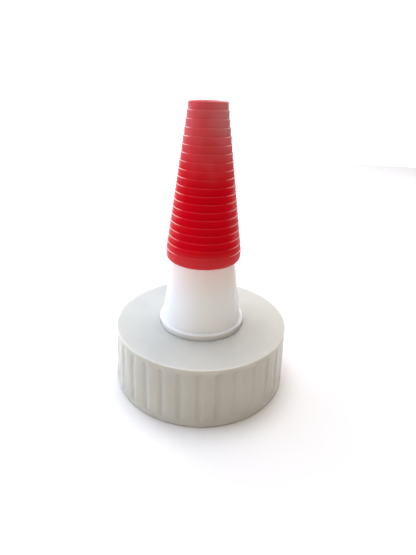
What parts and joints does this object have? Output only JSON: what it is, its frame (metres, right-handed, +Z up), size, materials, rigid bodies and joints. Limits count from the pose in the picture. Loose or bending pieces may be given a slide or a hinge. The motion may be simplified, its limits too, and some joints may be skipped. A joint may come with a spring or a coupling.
{
  "type": "liquor pour spout",
  "caption": "Screw-on pouring cap for a wide bottle neck: fluted collar, tapered hollow nozzle and a long stepped push-on sealing tip.",
  "frame": {"origin": "on the cap's axis, in the plane of the collar's lower rim, where it stands on a table", "axes": "+Z up along the axis, from the threaded mouth towards the nozzle's outlet; -Y faces forwards, through the middle of a flute"},
  "size_m": [0.0422, 0.0422, 0.0642],
  "materials": {
    "collar_polyethylene": "natural milky polyethylene, glossy as moulded",
    "nozzle_polyethylene": "natural translucent polyethylene, as moulded",
    "gasket_foam": "white foamed polyethylene liner with a smooth skin",
    "tip_polyethylene": "red polyethylene, glossy as moulded"
  },
  "bodies": {
    "collar": {"screw_collar": "collar_polyethylene"},
    "nozzle": {"pour_nozzle": "nozzle_polyethylene", "neck_gasket": "gasket_foam"},
    "tip": {"sealing_tip": "tip_polyethylene"}
  },
  "joints": [
    {"name": "nozzle_turn", "type": "hinge", "parent": "collar", "child": "nozzle", "pos_m": [0, 0, 0.0143], "axis": [0, 0, 1], "continuous": true},
    {"name": "tip_pull_off", "type": "slide", "parent": "nozzle", "child": "tip", "axis": [0, 0, 1], "range_m": [0, 0.035]}
  ]
}
